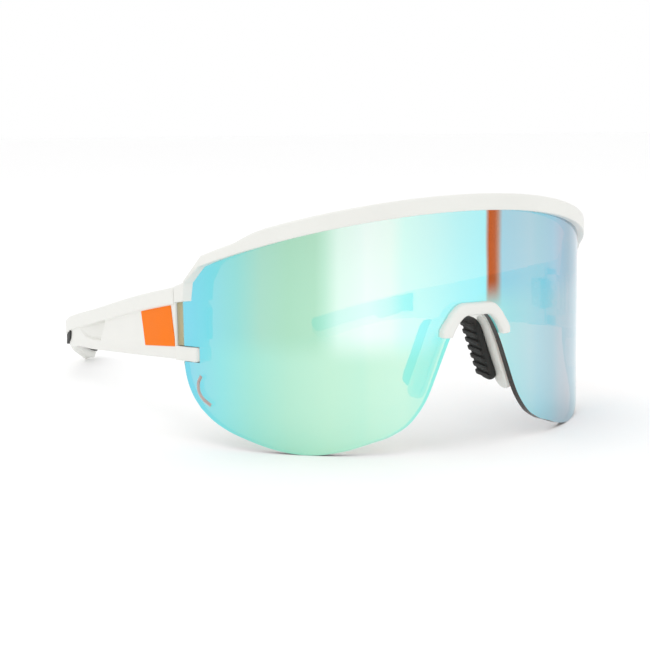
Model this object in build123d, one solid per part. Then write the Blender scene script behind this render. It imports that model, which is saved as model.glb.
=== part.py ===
"""Wraparound sport sunglasses: one shield lens under a brow frame, a clip-on nose bridge and
two folding temples on small steel leaf hinges.

Everything is drawn as it is worn, lens upright. X runs from the wearer's right (-) to left (+),
the lens faces -Y and Z is up. The lens is a piece of an upright tube whose front touches y = 0.
Each side piece is drawn for the wearer's left and mirrored for the right. At the end the whole
pair is leaned back until it stands on its lens lobes and its two temple tips.
"""
from build123d import *
import math
import os

# ------------------------------------------------------------------ driving sizes, mm and degrees

# Lens
lens_radius = 74.0
lens_thickness = 2.0
lens_side_angle = 68.0
lens_tab_angle = 69.6
lens_tab_low = 28.8
lens_notch_low = 24.3
lens_notch_angle = 63.2
nose_cut_height = 38.6
lobe_view_angle = 38.0
lobe_start_angle = 24.0
lobe_start_height = 3.3
lobe_start_fall = 0.30
vent_width = 1.1

# Brow frame: heights are where the front lip crosses the given depth behind the lens front
brow_front_lip = 2.0
brow_back_lip = 2.4
brow_lip_height = 66.4
brow_fall = 0.365
brow_height = 4.9
ridge_end_depth = 21.0
ridge_step = 1.5
band_end_angle = 64.0
block_inner_angle = 59.0
block_start_angle = 58.0
block_turn_angle = 66.0
cheek_length = 5.3
cheek_height = 41.8
groove_depth = 1.8
groove_gap = 0.1
groove_end_gap = 0.25
notch_gap = 0.2
finger_proud = 0.8
post_length = 5.6

# Temple
temple_width_share = 0.95
tab_end_room = 0.1
temple_splay = 3.5
temple_run = 95.0
temple_run_radius = 900.0
temple_ear_length = 55.0
temple_ear_radius = 75.0
temple_panel_inset = 0.8
temple_wall = 3.6
temple_front_top = 45.8
temple_front_low = 24.8
spine_height = 4.7
scoop_start_share = 0.61
scoop_length = 31.0
butt_gap = 0.3

# Hinge: its axis leans inwards at the top, so a folding temple drops below the other's root
temple_root_thickness = 7.8
hinge_lean = 2.0
hinge_recess = 0.8
barrel_radius = 1.9
leaf_thickness = 1.0
leaf_length = 7.6
knuckle_height = 2.8
washer_thickness = 0.3
hinge_height = 35.2
leaf_room_gap = 0.4
screw_room_gap = 0.8
screw_radius = 0.75
screw_head_radius = 1.5
screw_head_height = 0.8
bore_clearance = 0.05
rivet_radius = 0.6
rivet_head_radius = 1.1
rivet_head_height = 0.45
rivet_room = 4.6
rivet_clearance = 0.03
rivet_spacing = 5.0

# Badge
badge_length = 22.0
badge_thickness = 0.6
badge_recess = 0.4
badge_gap = 0.1

# Ear grip
grip_thickness = 1.6
grip_margin = 1.3
grip_lead = 3.0
window_length = 19.0
window_height = 7.4
window_after_run = 14.0
window_centre_height = 20.0
window_slope = 16.0
window_clearance = 0.05

# Nose bridge and pads
bridge_top_height = 41.0
bridge_band = 3.4
bridge_front = 2.4
bridge_back = 3.2
bridge_foot_half_width = 11.4
bridge_foot_height = 31.4
bridge_edge_gap = 0.05
arm_thickness = 1.8
arm_width = 6.4
arm_length = 24.0
pad_length = 20.0
pad_width = 8.8
pad_thickness = 2.0
pad_rib_count = 7
pad_rib_height = 0.6
pad_start = 1.5
pad_shift = 5.2
pad_gap = 0.1
pad_lens_gap = 0.4
pad_stud_radius = 0.8
pad_stud_across = 2.0
pad_stud_clearance = 0.05

# ------------------------------------------------------------------ sizes that follow

lens_inner_radius = lens_radius - lens_thickness
lens_tab_depth = lens_radius - lens_inner_radius * math.cos(math.radians(lens_tab_angle))
temple_half_width = temple_width_share * lens_radius
temple_front_depth = round(lens_tab_depth + tab_end_room, 1)
hinge_inner_face = temple_half_width - temple_root_thickness
post_depth = temple_front_depth - post_length
rivet_depth = rivet_room - lens_thickness
cheek_depth = temple_front_depth - cheek_length
brow_corner_depth = cheek_depth - 5.5
run_end = temple_front_depth + temple_run
window_depth = run_end + window_after_run
groove_outer = lens_radius + groove_gap
groove_inner = lens_inner_radius - groove_gap
brow_outer = lens_radius + brow_front_lip
brow_inner = lens_inner_radius - brow_back_lip
butt_depth = temple_front_depth - butt_gap
hinge_x = hinge_inner_face - barrel_radius
hinge_y = temple_front_depth
barrel_height = 3 * knuckle_height + 2 * washer_thickness
barrel_low = hinge_height - barrel_height / 2
run_angle = math.degrees(temple_run / temple_run_radius)
ear_angle = math.degrees(temple_ear_length / temple_ear_radius)
reach = 100.0


# ------------------------------------------------------------------ drawing helpers

def polar(radius, angle):
    """Plan point at a radius from the lens axis and an angle from straight ahead."""
    turn = math.radians(angle)
    return (radius * math.sin(turn), lens_radius - radius * math.cos(turn))


def upright(face, low, high):
    """Raise a plan face from one height to another."""
    return Pos(0, 0, low) * extrude(face, amount=high - low, dir=(0, 0, 1))


def tube_part(inner, outer, start, end):
    """Plan face between two radii round the lens axis, from one angle to another."""
    middle = (start + end) / 2
    outline = Curve() + [
        ThreePointArc(polar(outer, start), polar(outer, middle), polar(outer, end)),
        Line(polar(outer, end), polar(inner, end)),
        ThreePointArc(polar(inner, end), polar(inner, middle), polar(inner, start)),
        Line(polar(inner, start), polar(outer, start)),
    ]
    return make_face(outline)


def plan_polygon(points):
    return make_face(Polyline(*points, close=True))


def side_prism(face):
    """Carry a side-view face, drawn as depth and height, through the full width."""
    return extrude(Plane.YZ * face, amount=reach, both=True)


def side_polygon(points):
    return side_prism(make_face(Polyline(*points, close=True)))


def other_side(shape):
    return mirror(shape, about=Plane.YZ)


def with_hinge(shape):
    """Lean a piece that was drawn upright to the slope of the hinge axis."""
    pivot = Pos(hinge_inner_face, 0, hinge_height)
    return pivot * Rot(0, -hinge_lean, 0) * pivot.inverse() * shape


# ------------------------------------------------------------------ side view of the brow

def lip_height(depth):
    """Height of the brow's lower lip at a depth behind the lens front."""
    return brow_lip_height - brow_fall * (depth + brow_front_lip)


def top_height(depth):
    return lip_height(depth) + brow_height


corner_height = lip_height(brow_corner_depth)
cheek_turn_height = cheek_height + 5.2
jaw_low_depth = cheek_depth - 0.6


def lens_side_view():
    """The lens as seen from the side: its top edge lies a groove's depth above the lip."""
    front = -brow_front_lip
    return [
        (front, -5),
        (front, lip_height(front) + groove_depth),
        (brow_corner_depth + 0.5 * groove_depth, corner_height + 0.8 * groove_depth),
        (jaw_low_depth + 0.6 * groove_depth, cheek_turn_height - 0.5 * groove_depth),
        (cheek_depth + groove_depth, cheek_height + groove_depth),
        (reach, cheek_height + groove_depth),
        (reach, -5),
    ]


def brow_side_view():
    front = -brow_outer
    ridge_end = ridge_end_depth + 3.0
    step_end = ridge_end + 4.0
    return [
        (front, lip_height(front)),
        (front, top_height(front)),
        (ridge_end_depth, top_height(ridge_end_depth)),
        (ridge_end, top_height(ridge_end) - 0.3),
        (step_end, top_height(step_end) - ridge_step),
        (brow_corner_depth - 0.8, corner_height + 3.3),
        (cheek_depth - 0.1, temple_front_top + 1.4),
        (butt_depth, temple_front_top),
        (butt_depth, cheek_height - 0.9),
        (cheek_depth, cheek_height),
        (jaw_low_depth, cheek_turn_height),
        (brow_corner_depth, corner_height),
    ]


def cheek_side_view():
    """Side view of the post behind the lens tab, down to the finger in the lens notch."""
    return [
        (post_depth, temple_front_top),
        (butt_depth, temple_front_top),
        (butt_depth, lens_notch_low + notch_gap),
        (post_depth, lens_notch_low + notch_gap),
    ]


# ------------------------------------------------------------------ lens

def lobe_plane():
    """Plane through the lens axis that faces the middle of one lobe."""
    turn = math.radians(lobe_view_angle)
    facing = (math.sin(turn), -math.cos(turn), 0)
    across = (math.cos(turn), math.sin(turn), 0)
    return Plane(origin=(0, lens_radius, 0), x_dir=across, z_dir=facing)


def lobe_point(angle, height):
    """A point of the lens face, seen square on to the middle of the lobe."""
    return (lens_radius * math.sin(math.radians(angle - lobe_view_angle)), height)


def lobe_outline():
    """Lobe, notch and side tab of the wearer's left half, outside the nose cut-out."""
    start = lobe_point(lobe_start_angle, lobe_start_height)
    lobe_curve = [
        start,
        lobe_point(36.5, 0.0),
        lobe_point(46.5, 1.7),
        lobe_point(56.5, 5.9),
        lobe_point(63.6, 11.8),
        lobe_point(66.6, 17.6),
        lobe_point(67.9, lens_notch_low),
    ]
    notch_middle = (lens_notch_low + lens_tab_low) / 2
    edge_top = (lobe_curve[-1][0], notch_middle)
    past_tab = lobe_point(lens_tab_angle + 6, 0)[0]
    jaw_height = cheek_height + groove_depth
    side = lobe_point(lens_side_angle, 0)[0]
    past_centre = lobe_point(-6, 0)[0]
    outline = Curve() + [
        Spline(*lobe_curve, tangents=[(1, -lobe_start_fall), (0.08, 1)]),
        Polyline(lobe_curve[-1], edge_top, (past_tab, notch_middle), (past_tab, jaw_height)),
        Polyline((past_tab, jaw_height), (side, jaw_height), (side, reach)),
        Polyline((side, reach), (past_centre, reach), (past_centre, -5)),
        Polyline((past_centre, -5), (start[0], -5), start),
    ]
    return make_face(outline)


def nose_cut(gap=0.0):
    """Opening over the nose, seen from the front, shrunk by a gap all round."""
    end_x = lens_radius * math.sin(math.radians(lobe_start_angle))
    end_fall = -lobe_start_fall * 1.06
    top = (0, nose_cut_height - gap)
    side_top = (8.0 - gap, 31.5 - gap / 2)
    side_low = (14.9 - gap, 15.2 - gap / 2)
    side_slope = (side_low[0] - side_top[0], side_low[1] - side_top[1])
    end = (end_x, lobe_start_height - gap)
    outline = Curve() + [
        Spline(top, side_top, tangents=[(1, 0), side_slope], tangent_scalars=[1, 1]),
        Line(side_top, side_low),
        Spline(side_low, (19.2, 9.0 - gap), end, tangents=[side_slope, (1, end_fall)]),
        Polyline(end, (end_x, -10), (0, -10), top),
    ]
    half = extrude(Plane.XZ * make_face(outline), amount=reach, both=True)
    return half + other_side(half)


def notch_view(gap=0.0):
    """Side view of the notch below the lens tab, shrunk by a gap for the finger that fills it."""
    front = polar(lens_radius, lens_notch_angle)[1] + gap
    low = lens_notch_low + gap
    high = lens_tab_low - gap
    round_off = 0.9
    return [
        (front, low + round_off),
        (front + round_off, low),
        (reach, low),
        (reach, high),
        (front + round_off, high),
        (front, high - round_off),
    ]


def vent_slot():
    """Crescent vent beside the outer edge of the lobe."""
    top = lobe_point(62.9, 21.6)
    belly = lobe_point(63.6, 17.4)
    low = lobe_point(60.4, 13.4)
    path = ThreePointArc(top, belly, low)
    return trace(path, line_width=vent_width)


def lens():
    shield = upright(tube_part(lens_inner_radius, lens_radius, 0, lens_tab_angle), -5, reach)
    lobe = extrude(lobe_plane() * lobe_outline(), amount=2 * lens_radius)
    vent = extrude(lobe_plane() * vent_slot(), amount=2 * lens_radius)
    half = shield & lobe & side_polygon(lens_side_view())
    half = half - vent - side_polygon(notch_view())
    return half + other_side(half) - nose_cut()


# ------------------------------------------------------------------ brow frame

def cheek_block(top):
    """End block beside one hinge, with the pocket that the lens tab lies in."""
    middle_angle = (block_start_angle + block_turn_angle) / 2
    inner_x = hinge_inner_face - hinge_recess
    inner_y = hinge_y - leaf_length - 0.6
    inner_start = polar(brow_inner, block_inner_angle)
    start = polar(brow_outer, block_start_angle)
    turn = polar(brow_outer, block_turn_angle)
    outline = Curve() + [
        ThreePointArc(start, polar(brow_outer, middle_angle), turn),
        Line(turn, (temple_half_width, butt_depth)),
        Line((temple_half_width, butt_depth), (inner_x, butt_depth)),
        Line((inner_x, butt_depth), (inner_x, inner_y)),
        Line((inner_x, inner_y), inner_start),
        Line(inner_start, start),
    ]
    block = upright(make_face(outline), 0, top) - leaf_room()
    jaw = block & side_polygon(brow_side_view())
    post = block & side_polygon(cheek_side_view())
    pocket_face = tube_part(groove_inner, brow_outer + 5, 50, lens_tab_angle + groove_end_gap)
    pocket = upright(pocket_face, 0, cheek_height)
    finger = block & side_polygon(notch_view(notch_gap))
    finger = finger & upright(Pos(0, lens_radius) * Circle(lens_radius + finger_proud), 0, top)
    return jaw + (post - pocket) + finger


def brow_frame():
    band_plan = tube_part(brow_inner, brow_outer, -band_end_angle, band_end_angle)
    band = upright(band_plan, 0, reach)
    band = band & side_polygon(brow_side_view())
    body = band + cheek_block(reach) + other_side(cheek_block(reach))
    groove = upright(tube_part(groove_inner, groove_outer, -80, 80), 0, reach)
    last = lens_tab_angle + groove_end_gap
    groove_end = upright(tube_part(brow_inner - 5, brow_outer, -last, last), 0, reach)
    groove = groove & side_polygon(lens_side_view()) & groove_end
    upper = upright(Rectangle(4 * reach, 4 * reach), lens_tab_low, reach)
    body = body - (groove & upper)
    for height in rivet_heights():
        hole = with_hinge(rivet_hole(front_rivet_depth(), height))
        body = body - hole - other_side(hole)
    return body


# ------------------------------------------------------------------ hinges

def leaf_room():
    """Recess in the inner faces of the end block and the temple, where the leaves lie."""
    length = 2 * (leaf_length + leaf_room_gap)
    height = barrel_height + screw_head_height + 2 * screw_room_gap
    box = Box(20, length, height, align=(Align.MAX, Align.CENTER, Align.MIN))
    return with_hinge(Pos(hinge_inner_face, hinge_y, barrel_low - screw_room_gap) * box)


def rivet_heights():
    return [hinge_height - rivet_spacing / 2, hinge_height + rivet_spacing / 2]


def front_rivet_depth():
    return hinge_y - leaf_length * 0.62


def temple_rivet_depth():
    return hinge_y + leaf_length * 0.62


def rivet_hole(depth, height):
    length = rivet_depth + leaf_thickness + 0.1
    start = hinge_inner_face - leaf_thickness
    low = (Align.CENTER, Align.CENTER, Align.MIN)
    hole = Cylinder(rivet_radius + rivet_clearance, length, align=low)
    return Pos(start, depth, height) * Rot(0, 90, 0) * hole


def rivet(depth, height):
    """Round-headed rivet that holds a leaf; its head stands on the leaf's inner face."""
    low = (Align.CENTER, Align.CENTER, Align.MIN)
    shank = Cylinder(rivet_radius, rivet_depth + leaf_thickness, align=low)
    head = Pos(0, 0, -rivet_head_height) * Cylinder(rivet_head_radius, rivet_head_height, align=low)
    head = fillet(head.edges().sort_by(Axis.Z)[0], rivet_head_height * 0.7)
    start = hinge_inner_face - leaf_thickness
    return Pos(start, depth, height) * Rot(0, 90, 0) * (shank + head)


def rivets(depth):
    return Compound(children=[with_hinge(rivet(depth, height)) for height in rivet_heights()])


def knuckle(low, high):
    barrel = upright(Circle(barrel_radius), low, high)
    return Pos(hinge_x, hinge_y, 0) * barrel


def leaf(direction, knuckles):
    """A plate on the inner face with its share of the knuckles; direction is -1 towards the lens."""
    plate_x = hinge_inner_face - leaf_thickness
    near = hinge_y + direction * (barrel_radius + 0.25)
    far = hinge_y + direction * leaf_length
    plate = plan_polygon([(plate_x, near), (hinge_inner_face, near),
                          (hinge_inner_face, far), (plate_x, far)])
    body = upright(plate, barrel_low, barrel_low + barrel_height)
    tongue = plan_polygon([(plate_x, near), (hinge_inner_face, near),
                           (hinge_inner_face, hinge_y), (plate_x, hinge_y)])
    for low, high in knuckles:
        body = body + upright(tongue, low, high) + knuckle(low, high)
    bore = upright(Circle(screw_radius + bore_clearance), 0, reach)
    body = body - Pos(hinge_x, hinge_y, 0) * bore
    depth = front_rivet_depth() if direction < 0 else temple_rivet_depth()
    for height in rivet_heights():
        body = body - rivet_hole(depth, height)
    return with_hinge(body)


def front_leaf():
    top = barrel_low + barrel_height
    return leaf(-1, [(barrel_low, barrel_low + knuckle_height), (top - knuckle_height, top)])


def temple_leaf():
    low = barrel_low + knuckle_height + washer_thickness
    return leaf(1, [(low, low + knuckle_height)])


def hinge_screw():
    """Screw down the barrel, its slotted head on the top knuckle."""
    top = barrel_low + barrel_height
    shank = upright(Circle(screw_radius), barrel_low - 0.4, top)
    head = upright(Circle(screw_head_radius), top, top + screw_head_height)
    head = fillet(head.edges().sort_by(Axis.Z)[-1], 0.3)
    slot = upright(Rectangle(4 * screw_head_radius, 0.35), top + screw_head_height / 2, top + 2)
    return with_hinge(Pos(hinge_x, hinge_y, 0) * (shank + head - slot))


def hinge_washers():
    ring = Circle(barrel_radius - 0.1) - Circle(screw_radius + 2 * bore_clearance)
    first = barrel_low + knuckle_height
    second = first + washer_thickness + knuckle_height
    rings = [upright(ring, low, low + washer_thickness) for low in (first, second)]
    return Compound(children=[with_hinge(Pos(hinge_x, hinge_y, 0) * item) for item in rings])


# ------------------------------------------------------------------ temples

def temple_path(inset):
    """Plan curve of the temple at an inset from its outer face: a long run, then the ear bend."""
    turn = math.radians(temple_splay)
    start = (temple_half_width - inset * math.cos(turn),
             temple_front_depth + inset * math.sin(turn))
    run = JernArc(start, (math.sin(turn), math.cos(turn)), temple_run_radius - inset, run_angle)
    ear = JernArc(run @ 1, run % 1, temple_ear_radius - inset, ear_angle)
    return run, ear


def temple_strip(outer_inset, inner_inset):
    """Upright strip that follows the temple between two insets."""
    outer_run, outer_ear = temple_path(outer_inset)
    inner_run, inner_ear = temple_path(inner_inset)
    outline = Curve() + [
        outer_run,
        outer_ear,
        Line(outer_ear @ 1, inner_ear @ 1),
        inner_ear,
        inner_run,
        Line(inner_run @ 0, outer_run @ 0),
    ]
    return upright(make_face(outline), -5, reach)


def temple_top(raised=0.0):
    points = [
        (temple_front_depth - 4, temple_front_top + 0.4 + raised),
        (temple_front_depth + 0.289 * temple_run, temple_front_top - 5.1 + raised),
        (temple_front_depth + 0.678 * temple_run, temple_front_top - 12.4 + raised),
        (run_end + 9, temple_front_top - 20.0 + raised),
        (run_end + 34, temple_front_top - 26.6 + raised),
        (run_end + 51, temple_front_top - 33.2 + raised),
    ]
    return Spline(*points)


def temple_low(raised=0.0):
    points = [
        (temple_front_depth - 4, temple_front_low - 0.1 + raised),
        (temple_front_depth + 0.789 * temple_run, temple_front_low - 6.8 + raised),
        (run_end + 9, temple_front_low - 9.4 + raised),
        (run_end + 30, temple_front_low - 14.4 + raised),
        (run_end + 44.5, temple_front_low - 20.2 + raised),
    ]
    return Spline(*points)


def between(upper, lower):
    """Side-view prism between an upper and a lower curve."""
    outline = Curve() + [
        upper,
        Line(upper @ 1, lower @ 1),
        lower,
        Line(lower @ 0, upper @ 0),
    ]
    return side_prism(make_face(outline))


def temple_arm():
    whole = between(temple_top(), temple_low())
    spine = temple_strip(0, temple_wall) & between(temple_top(), temple_top(-spine_height))
    panel = temple_strip(temple_panel_inset, temple_wall) & whole
    inner_x = hinge_inner_face - hinge_recess
    root_plan = plan_polygon([
        (inner_x, temple_front_depth),
        (inner_x, temple_front_depth + leaf_length + 3.5),
        (temple_half_width - temple_wall + 0.5, temple_front_depth + leaf_length + 10),
        (temple_half_width - temple_panel_inset - 0.6, temple_front_depth + leaf_length + 10),
        (temple_half_width - temple_panel_inset - 0.6, temple_front_depth),
    ])
    root = upright(root_plan, 0, reach) & between(temple_top(-1.0), temple_low(1.0))
    body = spine + panel + root
    body = body - scoop() - badge_pocket() - ear_window(0) - leaf_room()
    for height in rivet_heights():
        body = body - with_hinge(rivet_hole(temple_rivet_depth(), height))
    return body


def scoop():
    """Air scoop: a ramp cut into the panel, deep at its slanted front edge and fading backwards."""
    front = temple_front_depth + scoop_start_share * temple_run
    back = front + scoop_length
    outer = temple_half_width + 6
    plan = plan_polygon([
        (outer, front - 1),
        (temple_half_width - 0.5, front - 1),
        (temple_half_width + 0.3, back),
        (outer, back),
    ])
    side = side_polygon([
        (front, temple_front_top - 15.4),
        (front + 7, temple_front_top - 22.6),
        (front + 22, temple_front_top - 23.4),
        (back, temple_front_top - 21.5),
    ])
    return upright(plan, 0, reach) & side


def badge_outline(margin):
    """Slanted badge, seen from the side, grown by a margin all round."""
    front = temple_front_depth + 0.9
    back = front + badge_length
    lean = 2.4
    top = temple_front_top - 5.6
    low = temple_front_low + 3.4
    return side_polygon([
        (front - margin, low - margin),
        (front + lean - margin, top + margin),
        (back + lean + margin, top - 3.8 + margin),
        (back + margin, low - 2.1 - margin),
    ])


def badge_pocket():
    depth = temple_panel_inset + badge_recess
    return temple_strip(-2, depth) & badge_outline(badge_gap)


def temple_badge():
    back = temple_panel_inset + badge_recess
    return temple_strip(back - badge_thickness, back) & badge_outline(0)


def ear_window(gap):
    """Slanted oval through the temple at the start of the ear bend."""
    oval = SlotOverall(window_length - 2 * gap, window_height - 2 * gap)
    return side_prism(Pos(window_depth, window_centre_height) * Rot(0, 0, -window_slope) * oval)


def ear_grip():
    """Rubber pad inside the ear bend, with an oval boss that fills the window."""
    boss = temple_strip(0.2, temple_wall) & ear_window(window_clearance)
    start = run_end - grip_lead
    back_cut = side_polygon([(start, -5), (start + 3, reach), (reach * 2, reach), (reach * 2, -5)])
    pad_view = between(temple_top(-grip_margin), temple_low(grip_margin))
    pad = temple_strip(temple_wall, temple_wall + grip_thickness) & pad_view & back_cut
    return boss + pad


# ------------------------------------------------------------------ nose bridge and pads

def bridge_outline(outer):
    """Front view of the saddle, the wearer's left half, outer edge or inner edge."""
    if outer:
        return [
            (0, bridge_top_height),
            (5.2, bridge_top_height - 0.1),
            (7.6, bridge_top_height - 2.0),
            (9.6, bridge_top_height - 5.2),
            (bridge_foot_half_width, bridge_foot_height + 2.4),
            (bridge_foot_half_width - 0.6, bridge_foot_height + 0.4),
            (bridge_foot_half_width - 2.6, bridge_foot_height),
        ]
    return [
        (bridge_foot_half_width - 3.2, bridge_foot_height + 0.6),
        (6.3, bridge_top_height - bridge_band - 2.6),
        (4.4, bridge_top_height - bridge_band - 0.3),
        (0, bridge_top_height - bridge_band),
    ]


def saddle():
    """Inverted U that straddles the top of the nose cut-out, seen from the front."""
    points = bridge_outline(True) + bridge_outline(False)
    face = make_face(Polyline(*points, close=True))
    half = extrude(Plane.XZ * face, amount=reach, both=True)
    front_radius = lens_radius + bridge_front
    back_radius = lens_inner_radius - bridge_back
    ring = upright(tube_part(back_radius, front_radius, 0, 30), 0, reach)
    half = half & ring
    return half + other_side(half)


def arm_plane():
    """Outer face of a nose arm: x along the arm, y towards the lens, z towards the nose."""
    top = Vector(7.6, 6.5, 37.1)
    low = Vector(16.1, 7.4, 15.6)
    along = (low - top).normalized()
    flare = Vector(0.12, 0.99, 0)
    inward = flare.cross(along).normalized()
    return Plane(origin=top, x_dir=along, z_dir=inward)


def behind_lens(gap):
    """Room behind the lens, a gap away from its inner face."""
    return upright(Pos(0, lens_radius) * Circle(lens_inner_radius - gap), 0, reach)


def rounded_plank(length, width, thickness, corner):
    """Plank from its plane outwards, starting at the plane's origin."""
    face = Pos(length / 2, 0) * RectangleRounded(length, width, corner)
    return extrude(face, amount=thickness)


def nose_arm():
    plank = rounded_plank(arm_length, arm_width, arm_thickness, arm_width / 2 - 0.2)
    stud_hole = Pos(arm_length / 2, -pad_stud_across, 0) * Cylinder(
        pad_stud_radius + pad_stud_clearance, 10)
    return arm_plane() * (plank - stud_hole)


def nose_bridge():
    lens_room = upright(tube_part(groove_inner, groove_outer, -40, 40), 0, reach)
    body = saddle() - (lens_room - nose_cut(bridge_edge_gap))
    left = nose_arm() & behind_lens(groove_gap)
    body = body + left + other_side(left)
    pad_room = arm_plane() * pad_plank(pad_gap)
    return body - pad_room - other_side(pad_room)


def pad_plank(gap=0.0):
    """Body of a nose pad, grown by a gap at its edges."""
    length = pad_length + 2 * gap
    width = pad_width + 2 * gap
    plank = rounded_plank(length, width, pad_thickness + 8 * gap, width / 2 - 0.6)
    return Pos(pad_start - gap, -pad_shift, arm_thickness) * plank


def nose_pad():
    """Soft pad on the nose side of an arm, ribbed across, with a stud through the arm."""
    body = pad_plank() & arm_plane().location.inverse() * behind_lens(pad_lens_gap)
    pitch = (pad_length - 4.0) / (pad_rib_count - 1)
    for index in range(pad_rib_count):
        along = pad_start + 2.0 + index * pitch
        rib_width = pad_width - 3.2
        rib = Box(1.2, rib_width, pad_rib_height + 0.2,
                  align=(Align.CENTER, Align.CENTER, Align.MIN))
        body = body + Pos(along, -pad_shift, arm_thickness + pad_thickness - 0.2) * rib
    stud = Pos(arm_length / 2, -pad_stud_across, 0) * Cylinder(
        pad_stud_radius, arm_thickness + 0.2, align=(Align.CENTER, Align.CENTER, Align.MIN))
    return arm_plane() * (body + stud)


# ------------------------------------------------------------------ assembly

def side_pieces():
    """Every piece of the wearer's left side, by its name without the side."""
    return {
        "hinge_front_leaf": front_leaf(),
        "hinge_front_rivets": rivets(front_rivet_depth()),
        "hinge_temple_leaf": temple_leaf(),
        "hinge_temple_rivets": rivets(temple_rivet_depth()),
        "hinge_screw": hinge_screw(),
        "hinge_washers": hinge_washers(),
        "temple_arm": temple_arm(),
        "temple_badge": temple_badge(),
        "ear_grip": ear_grip(),
        "nose_pad": nose_pad(),
    }


def stand(pieces, steps=5):
    """Lean the pair back until the lobes and the temple tips are level, and centre it."""
    tip_lead = 15.0
    lean = 0.0
    for _ in range(steps):
        front = (Rot(-lean, 0, 0) * pieces["lens"]).bounding_box()
        back = (Rot(-lean, 0, 0) * pieces["temple_arm_left"]).bounding_box()
        rise = back.min.Z - front.min.Z
        lean = lean + math.degrees(math.atan2(rise, back.max.Y - front.min.Y - tip_lead))
    turned = {name: Rot(-lean, 0, 0) * piece for name, piece in pieces.items()}
    boxes = [piece.bounding_box() for piece in turned.values()]
    front = min(box.min.Y for box in boxes)
    back = max(box.max.Y for box in boxes)
    shift = Pos(0, -(front + back) / 2, -min(box.min.Z for box in boxes))
    return {name: shift * piece for name, piece in turned.items()}, lean, shift


def build():
    pieces = {"brow_frame": brow_frame(), "lens": lens(), "nose_bridge": nose_bridge()}
    for name, piece in side_pieces().items():
        pieces[name + "_left"] = piece
        pieces[name + "_right"] = other_side(piece)
    return stand(pieces)


def write():
    os.makedirs("parts", exist_ok=True)
    pieces, lean, shift = build()
    for name, piece in pieces.items():
        export_step(piece, os.path.join("parts", name + ".step"))
    print("lean back", round(lean, 4), "degrees")


write()
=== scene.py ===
"""Wraparound sport sunglasses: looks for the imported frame.

Every shape is worked out in millimetres as the pair is worn: X from the wearer's right to left,
the lens facing -Y, Z up, the lens a piece of an upright tube that touches y = 0. place() then
leans the shape back onto its lobes and temple tips, where the frame stands, in metres.
"""

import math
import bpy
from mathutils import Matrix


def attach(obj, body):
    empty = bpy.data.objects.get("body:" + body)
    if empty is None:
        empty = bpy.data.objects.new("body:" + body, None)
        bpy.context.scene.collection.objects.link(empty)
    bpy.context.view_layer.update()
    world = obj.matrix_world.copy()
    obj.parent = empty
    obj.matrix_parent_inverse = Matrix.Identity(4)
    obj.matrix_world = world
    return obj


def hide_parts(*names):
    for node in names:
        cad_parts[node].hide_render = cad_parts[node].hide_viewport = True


bl_info = {
    "name": "Wraparound Sport Sunglasses",
    "version": (1, 0, 0),
    "blender": (4, 5, 0),
    "location": "3D View > Sidebar > Sunglasses",
    "description": "Builds the lens, brow, temples, grips and nose pads over the packed frame",
    "category": "Object",
}

import bmesh
import bpy
import numpy as np
from bpy.props import FloatProperty, FloatVectorProperty, PointerProperty

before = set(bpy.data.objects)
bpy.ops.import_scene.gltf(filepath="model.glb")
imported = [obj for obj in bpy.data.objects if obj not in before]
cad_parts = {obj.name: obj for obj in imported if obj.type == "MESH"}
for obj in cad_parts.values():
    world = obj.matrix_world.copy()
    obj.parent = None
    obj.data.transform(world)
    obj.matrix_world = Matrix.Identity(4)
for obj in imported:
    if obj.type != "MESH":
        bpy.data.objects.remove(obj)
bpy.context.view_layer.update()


def linear(hex_colour):
    """sRGB hex to linear: the low end is divided by 12.92, the rest follows the 2.4 power."""
    parts = np.array([int(hex_colour[i:i + 2], 16) for i in (1, 3, 5)]) / 255
    low = parts / 12.92
    high = ((parts + 0.055) / 1.055) ** 2.4
    return tuple(np.where(parts <= 0.04045, low, high))


# ------------------------------------------------------------------ settings

def colour_setting(name, description, hex_colour):
    return FloatVectorProperty(name=name, description=description, subtype="COLOR", size=3,
                               min=0.0, max=1.0, default=linear(hex_colour))


def size_setting(name, description, millimetres):
    return FloatProperty(name=name, description=description, unit="LENGTH",
                         default=millimetres / 1000)


class LensSettings(bpy.types.PropertyGroup):
    thickness: size_setting("Thickness", "Wall of the shield", 2.0)
    # Width of the bare tab strip. Its tan is painted shade: the white post behind, lit through the
    # brown tint.
    bare_painted_shade_margin: size_setting("Bare margin", "Uncoated strip at the end of each side tab", 2.6)
    vent_width: size_setting("Vent width", "Width of the crescent vents", 1.1)
    tint: colour_setting("Tint", "What the coated polycarbonate lets through", "#9A4C22")
    edge: colour_setting("Cut edge", "The cut edge of the tinted sheet", "#2E2724")


class FrameSettings(bpy.types.PropertyGroup):
    colour: colour_setting("Colour", "Moulded nylon of the brow, temples and bridge", "#E9E9E4")
    edge_round: size_setting("Edge rounding", "Rounding of the moulded edges", 1.0)


class TempleSettings(bpy.types.PropertyGroup):
    spine: size_setting("Spine height", "Height of the raised upper rail", 4.7)
    band: size_setting("Lower band", "Height of the bevelled lower band", 4.0)
    scoop_depth: size_setting("Scoop depth", "Deepest part of the air scoop", 2.3)
    badge: colour_setting("Badge", "Lacquer of the slanted badge", "#F97A00")


class RubberSettings(bpy.types.PropertyGroup):
    colour: colour_setting("Rubber", "Soft moulded grips and nose pads", "#242422")
    rib_height: size_setting("Rib height", "How far the ribs of a nose pad stand up", 0.6)


class StageSettings(bpy.types.PropertyGroup):
    floor: colour_setting("Floor", "Pale studio floor", "#FEFEFE")
    focal: FloatProperty(name="Focal length", description="Camera lens in millimetres",
                         default=73.4)
    key: FloatProperty(name="Key light", description="Power of the overhead soft light",
                       subtype="POWER", default=2.0)


def settings(name):
    return getattr(bpy.context.scene, "sunglasses_" + name)


def mm(value):
    return value * 1000


# ------------------------------------------------------------------ sizes, millimetres, degrees

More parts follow.
